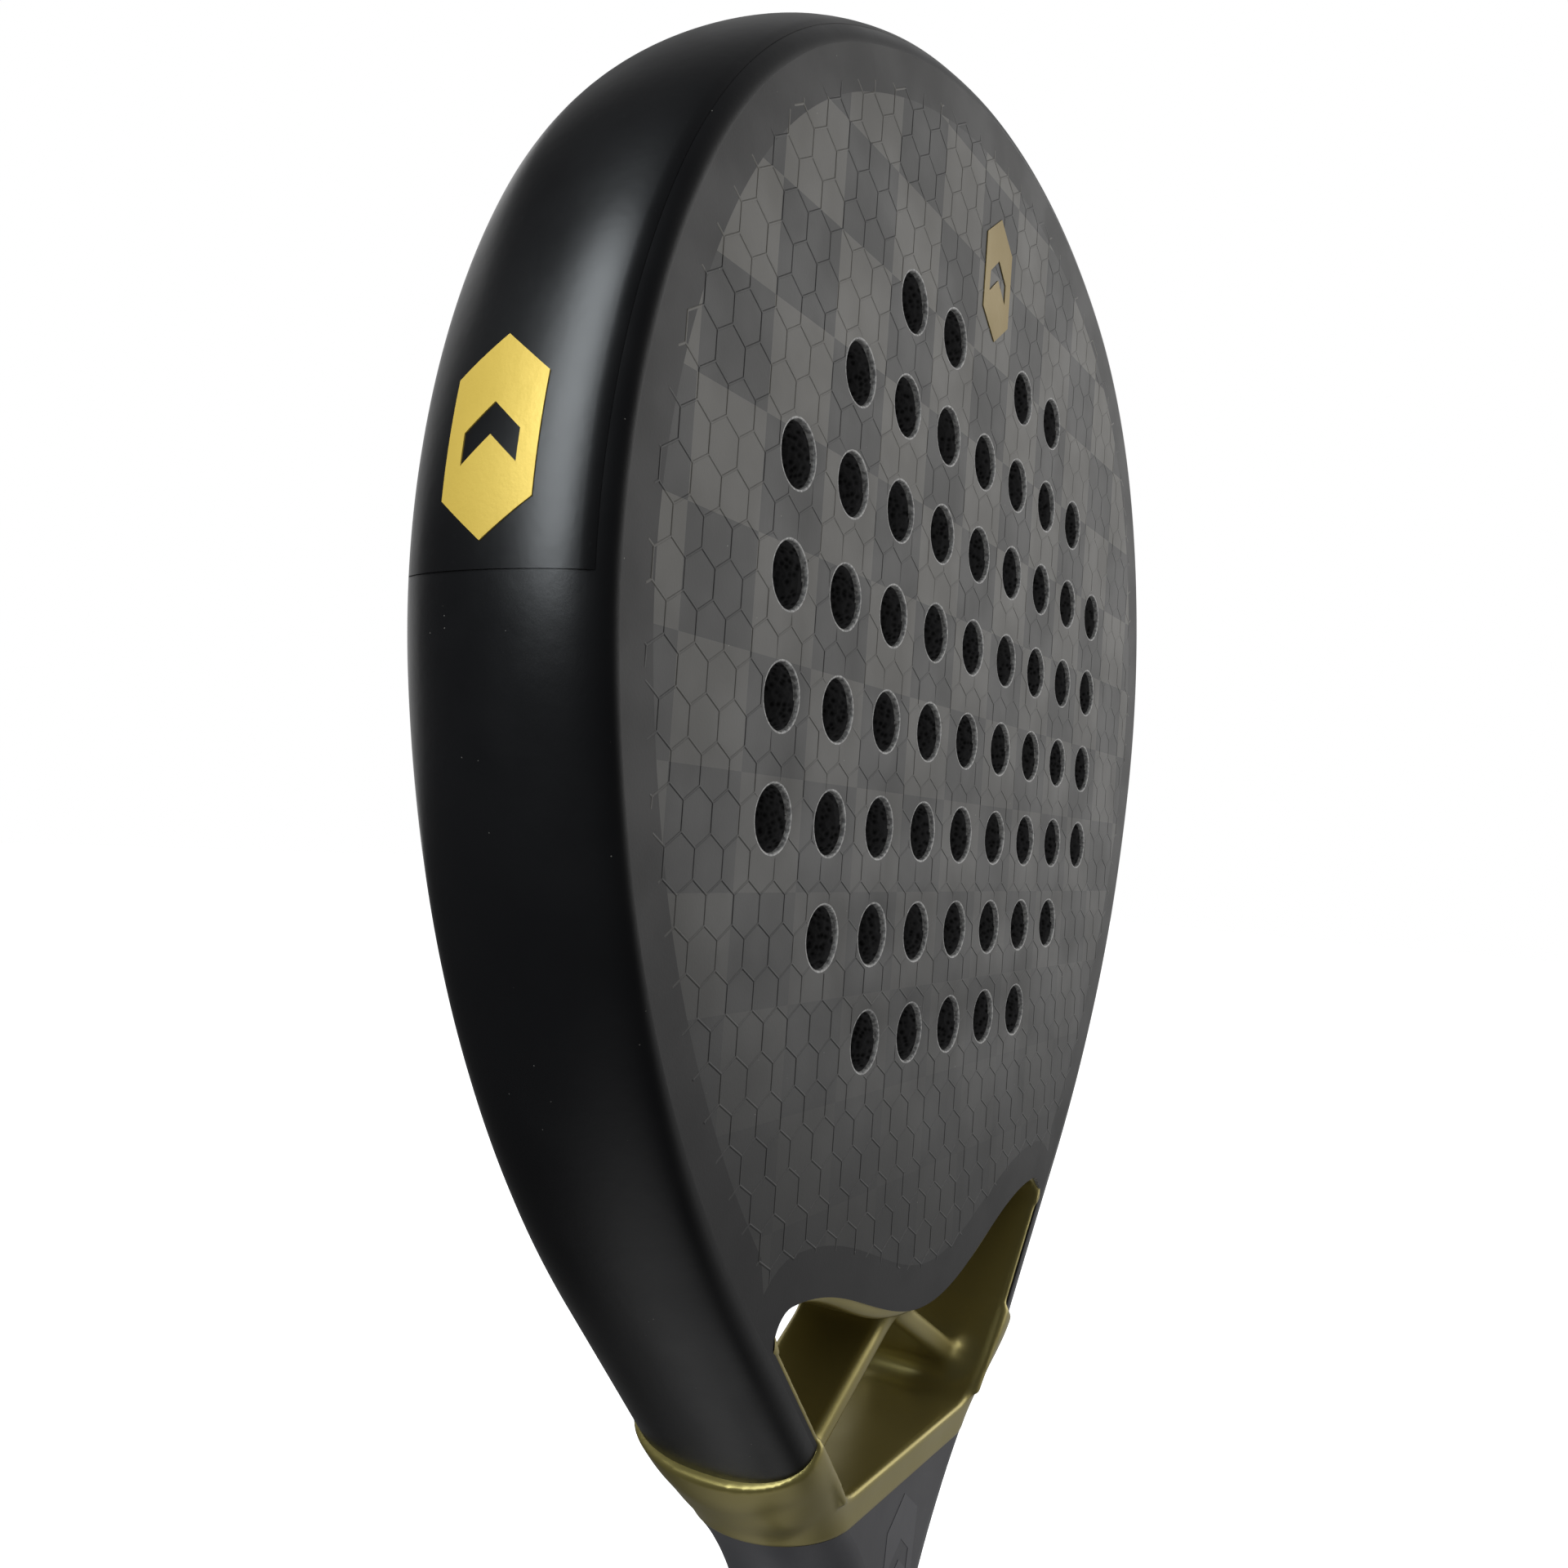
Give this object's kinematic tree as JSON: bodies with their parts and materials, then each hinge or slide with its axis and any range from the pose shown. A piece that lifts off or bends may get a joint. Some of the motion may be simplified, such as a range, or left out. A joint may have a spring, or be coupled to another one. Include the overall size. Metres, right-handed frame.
{
  "type": "padel racket",
  "caption": "Teardrop padel racket: perforated hitting faces on a foam core, hollow frame, V-strut throat, collar, neck, wound grip and butt cap with strap hole",
  "frame": {"origin": "middle of the butt cap's end, the lowest point of the upright racket", "axes": "+Z from the butt to the tip of the head, X across the width, front hitting face towards -Y"},
  "size_m": [0.2598, 0.0374, 0.4552],
  "materials": {
    "satin_black": "satin black lacquer over carbon",
    "carbon_face": "matt clear lacquer over square-weave carbon, raised honeycomb",
    "gold_lacquer": "satin antique-gold metallic lacquer",
    "neck_grey": "satin dark grey lacquer",
    "bridge_mould": "satin antique-gold metallic lacquer",
    "eva_foam": "black closed-cell foam",
    "filler_foam": "light structural foam",
    "grip_pu": "black perforated polyurethane grip",
    "tape": "black finishing tape",
    "ring_rubber": "black rubber",
    "cap_plastic": "black moulded plastic",
    "gold_decal": "bright satin gold foil",
    "grey_decal": "light grey satin print",
    "clear_film": "clear protector film over black lacquer"
  },
  "bodies": {
    "root": {"head_frame_tube": "satin_black", "head_frame_foam": "filler_foam", "edge_film": "clear_film", "throat_arm_left": "satin_black", "throat_arm_right": "satin_black", "throat_arm_foam_left": "filler_foam", "throat_arm_foam_right": "filler_foam", "throat_liner_left": "gold_lacquer", "throat_liner_right": "gold_lacquer", "throat_strut_left": "gold_lacquer", "throat_strut_right": "gold_lacquer", "throat_bridge": "bridge_mould", "throat_collar": "gold_lacquer", "face_skin_front": "carbon_face", "face_skin_back": "carbon_face", "head_core": "eva_foam", "handle_shell": "neck_grey", "handle_core": "filler_foam", "grip_base_wrap": "grip_pu", "grip_finish_tape": "tape", "grip_ring": "ring_rubber", "butt_cap": "cap_plastic", "side_emblem_left": "gold_decal", "side_emblem_right": "gold_decal", "face_emblem_front": "gold_decal", "face_emblem_back": "gold_decal", "neck_emblem_front": "grey_decal", "neck_emblem_back": "grey_decal"}
  },
  "joints": []
}
